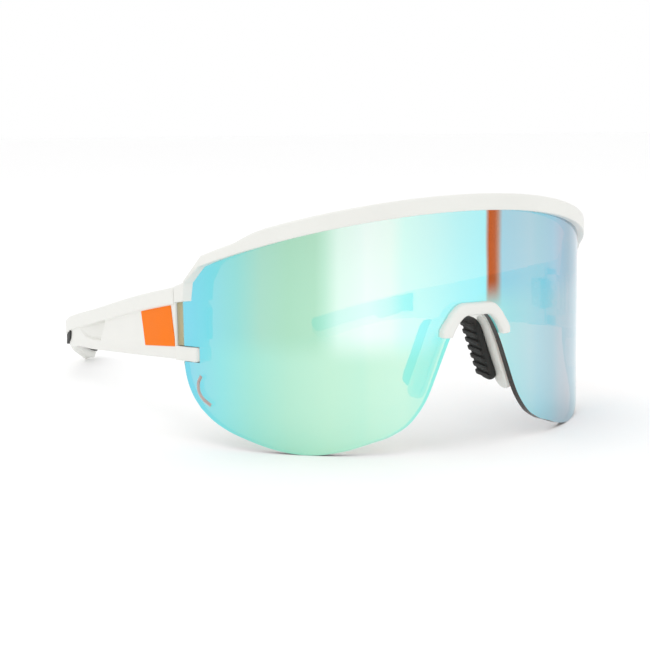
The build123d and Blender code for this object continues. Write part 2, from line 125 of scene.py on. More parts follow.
LEAN = math.radians(1.5367)
STAND_Y, STAND_Z = -96.073, 0.457
RADIUS = 74.0
TAB_END, NOTCH_END = 69.6, 63.2
NOTCH_LOW, NOTCH_HIGH = 24.3, 28.8
BROW_OUTER, BROW_INNER = 76.0, 69.6
HALF_WIDTH, TEMPLE_FRONT, BUTT = 70.3, 49.0, 48.7
SPLAY, RUN, RUN_RADIUS, EAR, EAR_RADIUS = math.radians(3.5), 95.0, 900.0, 55.0, 75.0
WALL, PANEL = 3.6, 0.8
INNER_FACE = 61.7
POST_FOOT, POST_TOP, FINGER_TOP = 24.5, 44.0, 28.6


def place(points):
    """Worn millimetres to frame metres: a turn about X by the lean, then the stand's shift."""
    x, y, z = np.moveaxis(np.asarray(points, float), -1, 0)
    cos, sin = math.cos(LEAN), math.sin(LEAN)
    return np.stack([x, cos * y + sin * z + STAND_Y, cos * z - sin * y + STAND_Z], -1) / 1000


def bend(at, keys):
    """Smooth curve through (position, value) keys: a cubic piece between each two, whose slope
    at a key is that of the parabola through it and its neighbours."""
    xs, ys = np.array(keys, float).T
    slopes = np.gradient(ys, xs)
    at = np.clip(at, xs[0], xs[-1])
    i = np.clip(np.searchsorted(xs, at) - 1, 0, len(xs) - 2)
    gap = xs[i + 1] - xs[i]
    t = (at - xs[i]) / gap
    return (ys[i] * (1 + 2 * t) * (1 - t) ** 2 + slopes[i] * gap * t * (1 - t) ** 2
            + ys[i + 1] * t * t * (3 - 2 * t) - slopes[i + 1] * gap * t * t * (1 - t))


def line(at, keys):
    """Straight runs through (position, value) keys."""
    xs, ys = np.array(keys, float).T
    return np.interp(at, xs, ys)


def smooth_step(value):
    """0 to 1 with level ends: three squares less two cubes of the clipped value."""
    t = np.clip(value, 0, 1)
    return t * t * (3 - 2 * t)


def on_tube(radius, angle, height):
    """Point of an upright tube round the lens axis: radius times the sine and cosine of the
    angle from straight ahead, at a height."""
    turn = np.radians(angle)
    x, y, z = np.broadcast_arrays(radius * np.sin(turn), RADIUS - radius * np.cos(turn), height)
    return np.stack([x, y, z], -1)


def depth_of(angle):
    return RADIUS * (1 - np.cos(np.radians(angle)))


# ------------------------------------------------------------------ shells

def rounded(corners, cuts, steps=4, flats=(0.12, 0.5, 0.88)):
    """Closed outline with its corners rounded. Each corner is left at its cut along both sides
    and bridged by a quadratic curve that has the corner as its handle; the sides between get
    the flats. Works on one outline or a whole stack of them."""
    corners = np.asarray(corners, float)
    back = np.roll(corners, 1, -2) - corners
    ahead = np.roll(corners, -1, -2) - corners
    back_length = np.linalg.norm(back, axis=-1, keepdims=True)
    ahead_length = np.linalg.norm(ahead, axis=-1, keepdims=True)
    cuts = np.asarray(cuts, float) * np.ones(corners.shape[-2])
    cuts = cuts[:, None]
    first = corners + back / back_length * np.minimum(cuts, 0.45 * back_length)
    last = corners + ahead / ahead_length * np.minimum(cuts, 0.45 * ahead_length)
    t = np.linspace(0, 1, steps + 1)[:, None]
    curve = ((1 - t) ** 2 * first[..., None, :] + 2 * t * (1 - t) * corners[..., None, :]
             + t * t * last[..., None, :])
    following = np.roll(first, -1, -2)
    share = np.array(flats)[:, None]
    sides = last[..., None, :] + (following - last)[..., None, :] * share
    both = np.concatenate([curve, sides], -2)
    return both.reshape(*corners.shape[:-2], -1, 2)


def sections(*corners):
    """The corners of every section of a stack, from a pair of arrays for each corner."""
    return np.stack([np.stack(corner, -1) for corner in corners], 1)


def grid_faces(rows, columns, closed, offset=0):
    """Quads of a grid of rows by columns, round the columns too if closed."""
    across = columns if closed else columns - 1
    i, j = np.meshgrid(np.arange(rows - 1), np.arange(across), indexing="ij")
    k = (j + 1) % columns
    quads = np.stack([i * columns + j, i * columns + k, (i + 1) * columns + k,
                      (i + 1) * columns + j], -1)
    return quads.reshape(-1, 4) + offset


def tube_shell(rings, end_round=0.0, steps=3):
    """Closed skin over a stack of rings. Each end is rounded: the ring draws in towards its
    middle by one less the cosine, and moves out by the sine, of a quarter turn, and a fan of
    triangles closes it. Returns the points, the quads and the triangles."""
    rings = np.asarray(rings, float)

    def ended(ring, outwards):
        middle = ring.mean(0)
        inwards = middle - ring
        length = np.linalg.norm(inwards, axis=1, keepdims=True) + 1e-9
        turn = np.linspace(0, math.pi / 2, steps + 1)[1:, None, None]
        draw = np.minimum(end_round * (1 - np.cos(turn)), 0.8 * length)
        move = end_round * (np.sin(turn) - 1)
        return ring + inwards / length * draw + outwards * move

    centres = rings.mean(1)
    if end_round:
        start_out = centres[0] - centres[1]
        start_out = start_out / np.linalg.norm(start_out)
        finish_out = centres[-1] - centres[-2]
        finish_out = finish_out / np.linalg.norm(finish_out)
        first, last = ended(rings[0], start_out)[::-1], ended(rings[-1], finish_out)
        body = rings.copy()
        body[0] -= start_out * end_round
        body[-1] -= finish_out * end_round
        rings = np.concatenate([first, body, last])
    count, size = rings.shape[:2]
    quads = grid_faces(count, size, True)
    around = np.arange(size)
    start, finish = count * size, count * size + 1
    fans = np.concatenate([
        np.stack([np.full(size, start), np.roll(around, -1), around], -1),
        np.stack([np.full(size, finish), around + (count - 1) * size,
                  np.roll(around, -1) + (count - 1) * size], -1)])
    points = np.concatenate([rings.reshape(-1, 3), rings[0].mean(0)[None], rings[-1].mean(0)[None]])
    return points, quads, fans


def stacked(outline, lift, levels):
    """Rings of a flat outline lifted through levels of (height, inset): each ring is the
    outline drawn in towards its middle by the inset."""
    middle = outline.mean(0)
    inwards = middle - outline
    length = np.linalg.norm(inwards, axis=1, keepdims=True)
    return np.array([lift(outline + inwards / length * inset, height)
                     for height, inset in levels])


def mirrored(shell):
    points, quads, fans = shell
    return points * (-1, 1, 1), quads[:, ::-1], fans[:, ::-1]


def make_mesh(name, shells, sharp=38.0):
    """One mesh from closed shells of worn millimetres, its faces turned outwards, smooth but
    for edges sharper than an angle."""
    points, quads, fans, offset = [], [], [], 0
    for shell in shells:
        points.append(shell[0])
        quads.append(shell[1] + offset)
        fans.append(shell[2] + offset)
        offset += len(shell[0])
    points = place(np.concatenate(points))
    quads, fans = np.concatenate(quads), np.concatenate(fans)
    mesh = bpy.data.meshes.new(name)
    mesh.vertices.add(len(points))
    mesh.vertices.foreach_set("co", points.astype(np.float32).ravel())
    corners = np.concatenate([quads.ravel(), fans.ravel()]).astype(np.int32)
    sizes = np.concatenate([np.full(len(quads), 4), np.full(len(fans), 3)])
    starts = np.concatenate([[0], np.cumsum(sizes)[:-1]]).astype(np.int32)
    mesh.loops.add(len(corners))
    mesh.loops.foreach_set("vertex_index", corners)
    mesh.polygons.add(len(sizes))
    mesh.polygons.foreach_set("loop_start", starts)
    mesh.update(calc_edges=True)
    shape = bmesh.new()
    shape.from_mesh(mesh)
    bmesh.ops.remove_doubles(shape, verts=shape.verts, dist=2e-6)
    bmesh.ops.recalc_face_normals(shape, faces=shape.faces)
    shape.to_mesh(mesh)
    shape.free()
    mesh.shade_smooth()
    mesh.set_sharp_from_angle(angle=math.radians(sharp))
    return mesh


def add_piece(name, mesh, materials, body, nodes):
    """Put a mesh in the scene as a piece that rides on a body and stands for CAD nodes."""
    piece = bpy.data.objects.new(name, mesh)
    bpy.context.scene.collection.objects.link(piece)
    for material in materials:
        mesh.materials.append(material)
    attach(piece, body)
    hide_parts(*nodes)
    return piece


def both_sides(name, shells, materials, body, node):
    """The same piece for the wearer's left and, mirrored, for the right."""
    for side, group in (("left", shells), ("right", [mirrored(shell) for shell in shells])):
        rides_on = body if body == "front" else f"{body}_{side}"
        mesh = make_mesh(f"{name}_{side}", group)
        add_piece(f"{name}_{side}", mesh, materials, rides_on, [f"{node}_{side}"])


# ------------------------------------------------------------------ materials

def add(tree, kind, links=None, **values):
    """Add a shader node, set its values and link its inputs."""
    node = tree.nodes.new("ShaderNode" + kind)
    for key, value in values.items():
        setattr(node, key, value)
    for socket, source in (links or {}).items():
        if hasattr(source, "is_linked"):
            tree.links.new(source, node.inputs[socket])
        else:
            node.inputs[socket].default_value = source
    return node


def new_material(name):
    material = bpy.data.materials.new(name)
    material.use_nodes = True
    tree = material.node_tree
    tree.nodes.clear()
    output = tree.nodes.new("ShaderNodeOutputMaterial")
    return material, tree, output


def per_mm(size):
    """Noise scale whose features are about this many millimetres across."""
    return 1000 / size


def ramp(tree, factor, stops):
    """Colour ramp through (position, linear colour) stops."""
    node = add(tree, "ValToRGB", {"Fac": factor})
    elements = node.color_ramp.elements
    while len(elements) < len(stops):
        elements.new(0.5)
    for element, (position, colour) in zip(elements, stops):
        element.position = position
        element.color = (*colour, 1)
    return node.outputs["Color"]


def moulded(name, colour, roughness, grain, depth, coat=0.0, mottle=0.03, specular=0.5):
    """Moulded polymer: a fine spark-eroded grain in the bump, a slow drift in the roughness,
    and a faint mottle in the colour."""
    material, tree, output = new_material(name)
    place_at = add(tree, "TexCoord").outputs["Object"]
    fine = add(tree, "TexNoise", {"Vector": place_at, "Scale": per_mm(grain), "Detail": 4.0})
    slow = add(tree, "TexNoise", {"Vector": place_at, "Scale": per_mm(14.0), "Detail": 3.0})
    dark = tuple(np.array(colour) * (1 - mottle))
    tone = ramp(tree, slow.outputs["Fac"], [(0.3, dark), (0.7, tuple(colour))])
    rough = add(tree, "MapRange", {"Value": slow.outputs["Fac"], "From Min": 0.3,
                                   "From Max": 0.7, "To Min": roughness * 0.85,
                                   "To Max": roughness * 1.15})
    bump = add(tree, "Bump", {"Height": fine.outputs["Fac"], "Strength": 0.35,
                              "Distance": depth / 1000})
    shader = add(tree, "BsdfPrincipled", {"Base Color": tone, "Roughness": rough.outputs["Result"],
                                          "Normal": bump.outputs["Normal"], "Coat Weight": coat,
                                          "Specular IOR Level": specular})
    tree.links.new(shader.outputs[0], output.inputs["Surface"])
    return material


def steel(name, hex_colour, roughness):
    """Stamped stainless steel, brushed along the leaf: noise stretched ten to one."""
    material, tree, output = new_material(name)
    place_at = add(tree, "TexCoord").outputs["Object"]
    along = add(tree, "Mapping", {"Vector": place_at, "Scale": (10, 1, 10)})
    brushed = add(tree, "TexNoise", {"Vector": along.outputs[0], "Scale": per_mm(3.0),
                                     "Detail": 5.0})
    colour = np.array(linear(hex_colour))
    tone = ramp(tree, brushed.outputs["Fac"], [(0.3, tuple(colour * 0.82)), (0.7, tuple(colour))])
    rough = add(tree, "MapRange", {"Value": brushed.outputs["Fac"], "To Min": roughness * 0.7,
                                   "To Max": roughness * 1.4})
    bump = add(tree, "Bump", {"Height": brushed.outputs["Fac"], "Strength": 0.25,
                              "Distance": 0.00002})
    shader = add(tree, "BsdfPrincipled", {"Base Color": tone, "Metallic": 1.0,
                                          "Roughness": rough.outputs["Result"],
                                          "Normal": bump.outputs["Normal"]})
    tree.links.new(shader.outputs[0], output.inputs["Surface"])
    return material


# Mirror coat by angle round the lens, degrees from straight ahead: above and below the cheeks.
# # The colours are the lens as seen, so they hold painted reflections as well as the coat: a
# painted
# # highlight band near -31 to -17, and a painted dark reflected gap near 3.5 to 6.4 where the
# orange tint shows
COAT_AND_REFLECTION_HIGH = [(-67, "#92D4E4"), (-60, "#8CD6DE"), (-54, "#90D6D2"), (-48, "#A4D6C4"),
             (-42, "#A6D8BE"), (-36, "#ACDCC2"), (-34, "#BAE6D0"), (-31, "#DAF6EA"),
             (-25, "#E8FAF4"), (-20, "#E2FAF2"), (-17, "#CEFAF2"), (-12, "#C6F6F2"),
             (-4, "#B2F2F4"), (2.8, "#A6F0F6"), (3.5, "#BA5A28"), (5.4, "#B4603A"),
             (6.4, "#B48C78"), (7.6, "#9CD0E0"), (20, "#A0CDDA"), (27, "#A0C6D8"),
             (31, "#A2BACC"), (36, "#98AEBE"), (45, "#9AB0C0"), (67, "#96B8CC")]
COAT_AND_REFLECTION_LOW = [(-67, "#8ED2E2"), (-58, "#90DCDC"), (-50, "#A0DED0"), (-42, "#B0E2CC"),
            (-33, "#BCE8D0"), (-24, "#C2ECD6"), (-14, "#BEEEDC"), (0, "#B4ECE2"),
            (10, "#A8DADE"), (20, "#A8D0DA"), (30, "#AEC2CC"), (36, "#ACBAC4"),
            (45, "#A4C0CC"), (67, "#9CCAD8")]


# Share of the tint's light let through, by angle round the lens: densest at the sides
TINT_SHARE = [(-70, 0.3), (-26, 0.42), (-17, 1), (17, 1), (26, 0.42), (70, 0.3)]


def coat_and_reflection_stops(keys, tint):
    """Ramp stops of the coat with its painted reflections: the seen colour less what passes."""
    return [((angle + 70) / 140,
             tuple(np.clip(np.array(linear(seen)) - 0.8 * line(angle, TINT_SHARE) * np.array(tint),
                           0.004, 1)))
            for angle, seen in keys]


def mirror_lens(name, tint, bare_painted_shade_margin):
    """Mirror-coated polycarbonate: a thin interference coat whose hue drifts round the tube and
    down it, partly the coat's own hue and partly painted reflection (a highlight band and a dark
    reflected gap), over a brown tint that lets light through. The coat stops short of the tab
    ends, where the bare strip's tan is painted shade of the white post behind, lit through the
    tint."""
    material, tree, output = new_material(name)
    place_at = add(tree, "TexCoord").outputs["Object"]
    axis = tuple(place((0, RADIUS, 0)))
    centred = add(tree, "VectorMath", {0: place_at, 1: axis}, operation="SUBTRACT")
    parts = add(tree, "SeparateXYZ", {"Vector": centred.outputs[0]})
    behind = add(tree, "Math", {0: parts.outputs["Y"], 1: -1.0}, operation="MULTIPLY")
    angle = add(tree, "Math", {0: parts.outputs["X"], 1: behind.outputs[0]}, operation="ARCTAN2")
    drift = add(tree, "TexNoise", {"Vector": place_at, "Scale": per_mm(30.0), "Detail": 2.0})
    wobble = add(tree, "MapRange", {"Value": drift.outputs["Fac"], "To Min": -0.012,
                                    "To Max": 0.012})
    turned = add(tree, "Math", {0: angle.outputs[0], 1: wobble.outputs[0]}, operation="ADD")
    span = math.radians(70)
    share = add(tree, "MapRange", {"Value": turned.outputs[0], "From Min": -span,
                                   "From Max": span})
    # Both ramps paint the coat's hue together with painted reflections, the highlight band and the
    # dark gap.
    high = ramp(tree, share.outputs[0], coat_and_reflection_stops(COAT_AND_REFLECTION_HIGH, tint))
    low = ramp(tree, share.outputs[0], coat_and_reflection_stops(COAT_AND_REFLECTION_LOW, tint))
    # Height where the painted coat and reflection change from the lower ramp to the upper: it rises
    # by 13 mm from -12 to 4 degrees.
    rise = add(tree, "MapRange", {"Value": turned.outputs[0], "From Min": math.radians(-12),
                                  "From Max": math.radians(4), "To Max": -0.013})
    lifted = add(tree, "Math", {0: parts.outputs["Z"], 1: rise.outputs[0]}, operation="ADD")
    level = add(tree, "MapRange", {"Value": lifted.outputs[0], "From Min": 0.026,
                                   "From Max": 0.036}, interpolation_type="SMOOTHSTEP")
    coat = add(tree, "Mix", {"Factor": level.outputs[0], "A": low, "B": high}, data_type="RGBA")
    coat_and_reflection_colour = coat.outputs["Result"]
    fine = add(tree, "TexNoise", {"Vector": place_at, "Scale": per_mm(9.0), "Detail": 3.0})
    rough = add(tree, "MapRange", {"Value": fine.outputs["Fac"], "To Min": 0.03, "To Max": 0.09})
    side = add(tree, "Math", {0: parts.outputs["X"]}, operation="ABSOLUTE")
    # Mask of the bare strip, which carries the painted tan shade of the post behind.
    edge = 0.0694 - bare_painted_shade_margin * math.cos(math.radians(TAB_END))
    bare = add(tree, "MapRange", {"Value": side.outputs[0], "From Min": edge - 0.0001,
                                  "From Max": edge + 0.0001})
    mirror = add(tree, "BsdfPrincipled", {"Base Color": coat_and_reflection_colour, "Metallic": 1.0,
                                          "Roughness": rough.outputs[0]})
    stops = [((angle + 70) / 140, tuple(np.array(tint) * let)) for angle, let in TINT_SHARE]
    passed = add(tree, "BsdfTransparent", {"Color": ramp(tree, share.outputs[0], stops)})
    coated = add(tree, "AddShader", {0: mirror.outputs[0], 1: passed.outputs[0]})
    # Painted shade on the bare strip: a tan standing for the white post behind it, in shade and lit
    # through the brown tint. Part lets light through and part is a tan gloss.
    clear = add(tree, "BsdfTransparent", {"Color": (*linear("#E6D3AE"), 1)})
    gloss = add(tree, "BsdfPrincipled", {"Base Color": (*linear("#D2C8A0"), 1), "Roughness": 0.1})
    tan_shade_strip = add(tree, "MixShader", {0: 0.6, 1: clear.outputs[0], 2: gloss.outputs[0]})
    whole = add(tree, "MixShader", {0: bare.outputs[0], 1: coated.outputs[0], 2: tan_shade_strip.outputs[0]})
    tree.links.new(whole.outputs[0], output.inputs["Surface"])
    return material


def lens_back(name):
    """Bare inner face of the lens: clear but for a weak gloss and fine wipe marks."""
    material, tree, output = new_material(name)
    place_at = add(tree, "TexCoord").outputs["Object"]
    fine = add(tree, "TexNoise", {"Vector": place_at, "Scale": per_mm(5.0), "Detail": 4.0})
    rough = add(tree, "MapRange", {"Value": fine.outputs["Fac"], "To Min": 0.04, "To Max": 0.12})
    gloss = add(tree, "BsdfPrincipled", {"Base Color": (*linear("#3A2A20"), 1),
                                         "Roughness": rough.outputs[0]})
    clear = add(tree, "BsdfTransparent", {"Color": (1, 1, 1, 1)})
    both = add(tree, "MixShader", {0: 0.08, 1: clear.outputs[0], 2: gloss.outputs[0]})
    tree.links.new(both.outputs[0], output.inputs["Surface"])
    return material


def white_nylon():
    return bpy.data.materials.get("Moulded nylon, satin white") or moulded(
        "Moulded nylon, satin white", tuple(settings("frame").colour), 0.42, 0.35, 0.03,
        coat=0.08)


def black_rubber():
    return bpy.data.materials.get("Moulded rubber, matt black") or moulded(
        "Moulded rubber, matt black", tuple(settings("rubber").colour), 0.72, 0.25, 0.06,
        mottle=0.15)


# ------------------------------------------------------------------ lens

NOSE_KEYS = [(0, 38.6), (4.6, 36.9), (8.0, 31.5), (11.4, 23.5), (14.9, 15.2), (19.2, 9.0),
             (24.5, 5.3)]
LOBE_KEYS = [(24, 3.3), (30, 1.1), (36.5, 0.02), (41.5, 0.4), (46.5, 1.7), (51.5, 3.6),
             (56.5, 5.9), (60.4, 8.6), (NOTCH_END, 11.35)]
EDGE_KEYS = [(11.35, NOTCH_END), (14.4, 65.2), (17.6, 66.6), (21.0, 67.45), (NOTCH_LOW, 67.9)]
LENS_TOP = [(-2, 68.2), (39.1, 53.17), (44.2, 46.1), (45.5, 43.6), (60, 43.6)]


def lens_low(angle):
    """Lower edge of the lens by angle: the nose cut-out, then the lobe."""
    nose = [(math.degrees(math.asin(x / RADIUS)), z) for x, z in NOSE_KEYS]
    return bend(angle, nose + LOBE_KEYS)


def lens_half():
    """Outer face of the wearer's left half as welded grids of angle and height: the body from
    the centre to the notch, the tab above the notch, and the tail of the lobe below it. A
    body row keeps its share of the height, so the notch falls on whole rows."""
    low_end, high_end = lens_low(NOTCH_END), line(depth_of(NOTCH_END), LENS_TOP)
    marks = (np.array([low_end, NOTCH_LOW, NOTCH_HIGH, high_end]) - low_end) / (high_end - low_end)
    rows = np.concatenate([np.linspace(marks[0], marks[1], 15)[:-1],
                           np.linspace(marks[1], marks[2], 7)[:-1],
                           np.linspace(marks[2], marks[3], 19)])
    angles = np.linspace(0, NOTCH_END, 121)
    low, high = lens_low(angles), line(depth_of(angles), LENS_TOP)
    body = on_tube(RADIUS, angles, low + rows[:, None] * (high - low))
    tab_angles = np.linspace(NOTCH_END, TAB_END, 13)
    tab_rows = (rows[20:] - marks[2]) / (marks[3] - marks[2])
    tab_high = line(depth_of(tab_angles), LENS_TOP)
    tab = on_tube(RADIUS, tab_angles, NOTCH_HIGH + tab_rows[:, None] * (tab_high - NOTCH_HIGH))
    heights = low_end + rows[:15] * (high_end - low_end)
    edges = bend(heights, EDGE_KEYS)
    tail = on_tube(RADIUS, NOTCH_END + np.linspace(0, 1, 11) * (edges - NOTCH_END)[:, None],
                   heights[:, None])
    points, faces, offset = [], [], 0
    for sheet in (body, tab, tail):
        points.append(sheet.reshape(-1, 3))
        faces.append(grid_faces(sheet.shape[0], sheet.shape[1], False, offset))
        offset += sheet.shape[0] * sheet.shape[1]
    return np.concatenate(points), np.concatenate(faces)


# The vent's middle line, by share of its length: angle round the lens, and height
VENT_ANGLES = [(0, 62.9), (0.25, 63.75), (0.5, 63.7), (0.78, 62.4), (1, 60.4)]
VENT_HEIGHTS = [(0, 20.6), (0.25, 18.6), (0.5, 16.2), (0.78, 13.9), (1, 12.4)]


def vent_cutter(side):
    """Crescent block through the lens: the vent's middle line on the face, widened to both
    sides, swept from inside the lens to outside it."""
    half_width = mm(settings("lens").vent_width) / 2
    t = np.linspace(0, 1, 25)
    arc = RADIUS * np.radians(bend(t, VENT_ANGLES))
    height = bend(t, VENT_HEIGHTS)
    path = np.stack([arc, height], -1)
    along = np.gradient(path, axis=0)
    across = np.stack([-along[:, 1], along[:, 0]], -1)
    across = across / np.linalg.norm(across, axis=1, keepdims=True) * half_width
    outline = np.concatenate([path + across, (path - across)[::-1]])
    rings = np.array([on_tube(radius, np.degrees(outline[:, 0] / RADIUS), outline[:, 1])
                      for radius in (RADIUS - 5, RADIUS + 3)])
    shell = tube_shell(rings)
    mesh = make_mesh(f"vent_cutter_{side}", [shell if side == "left" else mirrored(shell)])
    cutter = bpy.data.objects.new(f"vent_cutter_{side}", mesh)
    bpy.context.scene.collection.objects.link(cutter)
    return cutter


def finished(piece):
    """The piece's mesh with its modifiers worked in."""
    depsgraph = bpy.context.evaluated_depsgraph_get()
    mesh = bpy.data.meshes.new_from_object(piece.evaluated_get(depsgraph))
    piece.modifiers.clear()
    return mesh


def tube_normals(mesh):
    """Give the two tube faces the tube's own normals, so the mirror is free of facets, and mark
    each face with its material: 0 coated front, 1 bare back, 2 cut edge, 3 wall of a vent."""
    count = len(mesh.polygons)
    normals = np.empty(count * 3)
    mesh.polygons.foreach_get("normal", normals)
    normals = normals.reshape(-1, 3)
    centres = np.empty(count * 3)
    mesh.polygons.foreach_get("center", centres)
    axis_foot = place((0, RADIUS, 0))
    axis = place((0, RADIUS, 1000)) - axis_foot

    def radial(points):
        away = points - axis_foot
        away = away - np.outer(away @ axis, axis)
        return away / np.linalg.norm(away, axis=1, keepdims=True)

    facing = (normals * radial(centres.reshape(-1, 3))).sum(1)
    index = np.where(facing > 0.9, 0, np.where(facing < -0.9, 1, 2))
    from_foot = centres.reshape(-1, 3) - axis_foot
    angle = np.degrees(np.arctan2(abs(from_foot[:, 0]), -from_foot[:, 1]))
    height = mm(from_foot @ axis)
    # Cut faces inwards of this line are walls of a vent. The line has no upper height, so the
    # lens's top edge over the same angles is marked with them.
    shore = np.minimum(63.0 + 0.5 * (height - 12), 66)
    vent = (index == 2) & (angle > 58) & (height > 11.3) & (angle < shore)
    index[vent] = 3
    mesh.polygons.foreach_set("material_index", index.astype(np.int32))
    mesh.polygons.foreach_set("use_smooth", index < 2)
    totals = np.empty(count, np.int32)
    mesh.polygons.foreach_get("loop_total", totals)
    of_loop = np.repeat(np.arange(count), totals)
    vertex = np.empty(len(mesh.loops), np.int32)
    mesh.loops.foreach_get("vertex_index", vertex)
    points = np.empty(len(mesh.vertices) * 3)
    mesh.vertices.foreach_get("co", points)
    outwards = radial(points.reshape(-1, 3))[vertex]
    kind = index[of_loop][:, None]
    chosen = np.where(kind == 0, outwards, np.where(kind == 1, -outwards, normals[of_loop]))
    mesh.normals_split_custom_set(chosen.tolist())


class SUNGLASSES_OT_lens(bpy.types.Operator):
    """Build the mirror-coated shield lens"""
    bl_idname = "sunglasses.lens"
    bl_label = "Lens"

    def execute(self, context):
        lens = settings("lens")
        points, faces = lens_half()
        both = np.concatenate([points, points * (-1, 1, 1)])
        mesh = bpy.data.meshes.new("shield_lens")
        quads = np.concatenate([faces, faces[:, ::-1] + len(points)])
        mesh.from_pydata(place(both).tolist(), [], quads.tolist())
        shape = bmesh.new()
        shape.from_mesh(mesh)
        bmesh.ops.remove_doubles(shape, verts=shape.verts, dist=2e-6)
        bmesh.ops.recalc_face_normals(shape, faces=shape.faces)
        shape.faces.ensure_lookup_table()
        if sum(face.normal.y for face in shape.faces) > 0:
            bmesh.ops.reverse_faces(shape, faces=shape.faces)
        shape.to_mesh(mesh)
        shape.free()
        piece = bpy.data.objects.new("shield_lens", mesh)
        context.scene.collection.objects.link(piece)
        skin = piece.modifiers.new("Wall", "SOLIDIFY")
        skin.thickness = lens.thickness
        skin.offset = -1
        skin.use_even_offset = True
        cutters = [vent_cutter(side) for side in ("left", "right")]
        for cutter in cutters:
            vent = piece.modifiers.new("Vent", "BOOLEAN")
            vent.operation = "DIFFERENCE"
            vent.object = cutter
            vent.solver = "EXACT"
        piece.data = finished(piece)
        for cutter in cutters:
            bpy.data.objects.remove(cutter)
        edge = moulded("Polycarbonate, cut edge", tuple(lens.edge), 0.3, 0.4, 0.03, mottle=0.2)
        wall = moulded("Polycarbonate, frosted vent wall", linear("#E0D2CE"), 0.5, 0.4, 0.03)
        piece.data.materials.clear()
        for material in (mirror_lens("Polycarbonate, mirror coated, painted reflection and shade", tuple(lens.tint),
                                     lens.bare_painted_shade_margin),
                         lens_back("Polycarbonate, bare back"), edge, wall):
            piece.data.materials.append(material)
        tube_normals(piece.data)
        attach(piece, "front")
        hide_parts("lens")
        return {"FINISHED"}


# ------------------------------------------------------------------ brow frame

BROW_LOW = [(-2, 66.4), (38.2, 51.73), (43.1, 47.0), (43.7, 41.8), (BUTT, 40.9)]
BROW_TOP = [(-2, 71.3), (21, 62.9), (24.0, 61.5), (28, 58.85), (37.4, 55.04), (43.6, 47.2),
            (BUTT, 45.8)]


def brow_band():
    """The band over the lens: each section joins a point of the outer plan line to one of the
    inner line, and its top and bottom follow the side view at each point's own depth."""
    outer_ends = [on_tube(BROW_OUTER, 58, 0)[:2], on_tube(BROW_OUTER, 62, 0)[:2],
                  on_tube(BROW_OUTER, 66, 0)[:2], (69.8, 45.2), (HALF_WIDTH, BUTT)]
    inner_ends = [on_tube(BROW_INNER, 57, 0)[:2], on_tube(BROW_INNER, 59, 0)[:2],
                  (61.2, 40.3), (INNER_FACE, 43.4), (INNER_FACE, BUTT)]
    u = np.linspace(0, 4, 57)[1:]
    keys = np.arange(5)
    outer_end = np.stack([np.interp(u, keys, np.array(outer_ends)[:, i]) for i in (0, 1)], -1)
    inner_end = np.stack([np.interp(u, keys, np.array(inner_ends)[:, i]) for i in (0, 1)], -1)
    share = np.linspace(-1, 1, 161)
    outer_arc = on_tube(BROW_OUTER, 58 * share, 0)[:, :2]
    inner_arc = on_tube(BROW_INNER, 57 * share, 0)[:, :2]
    flip = np.array([-1, 1])
    outer = np.concatenate([outer_end[::-1] * flip, outer_arc, outer_end])
    inner = np.concatenate([inner_end[::-1] * flip, inner_arc, inner_end])
    width = np.linalg.norm(inner - outer, axis=1)
    zero, low = np.zeros_like(width), line(outer[:, 1], BROW_LOW)
    corners = sections((zero, low), (zero, line(outer[:, 1], BROW_TOP)),
                       (width, line(inner[:, 1], BROW_TOP)), (width, low))
    radius = mm(settings("frame").edge_round)
    profile = rounded(corners, (0.5 * radius, radius, radius, 0.5 * radius))
    way = (inner - outer) / width[:, None]
    plan = outer[:, None] + way[:, None] * profile[..., :1]
    return tube_shell(np.concatenate([plan, profile[..., 1:]], -1), 0.35)


def upright_block(outline, low, high, edge=0.4):
    """Plan outline raised from one height to another with softened top and bottom edges."""
    def lift(flat, height):
        return np.concatenate([flat, np.full((len(flat), 1), height)], 1)
    levels = [(low, edge), (low + 0.3 * edge, 0.3 * edge), (low + edge, 0), (high - edge, 0),
              (high - 0.3 * edge, 0.3 * edge), (high, edge)]
    return tube_shell(stacked(outline, lift, levels))


def brow_posts():
    """Behind each lens tab a post runs down from the band, and a finger from it fills the notch."""
    lens_back_arc = on_tube(RADIUS - 2.1, np.linspace(64.9, 69.4, 7), 0)[:, :2]
    post = np.concatenate([[(INNER_FACE, BUTT), (INNER_FACE, 43.4)], lens_back_arc,
                           [(69.9, 48.35), (HALF_WIDTH, BUTT)]])
    proud = on_tube(RADIUS + 0.8, np.linspace(63.7, 69.3, 9), 0)[:, :2]
    finger = np.concatenate([[(INNER_FACE, BUTT), (INNER_FACE, 42.0), (63.5, 40.8)], proud,
                             [(HALF_WIDTH, BUTT)]])
    return [upright_block(rounded(post, 0.25, 2, (0.5,)), POST_FOOT, POST_TOP),
            upright_block(rounded(finger, 0.5, 3, (0.5,)), POST_FOOT, FINGER_TOP, 0.5)]


class SUNGLASSES_OT_brow(bpy.types.Operator):
    """Build the brow frame with its end blocks, posts and fingers"""
    bl_idname = "sunglasses.brow"
    bl_label = "Brow frame"

    def execute(self, context):
        posts = brow_posts()
        shells = [brow_band()] + posts + [mirrored(shell) for shell in posts]
        mesh = make_mesh("brow_moulding", shells)
        add_piece("brow_moulding", mesh, [white_nylon()], "front", ["brow_frame"])
        return {"FINISHED"}


# ------------------------------------------------------------------ temples

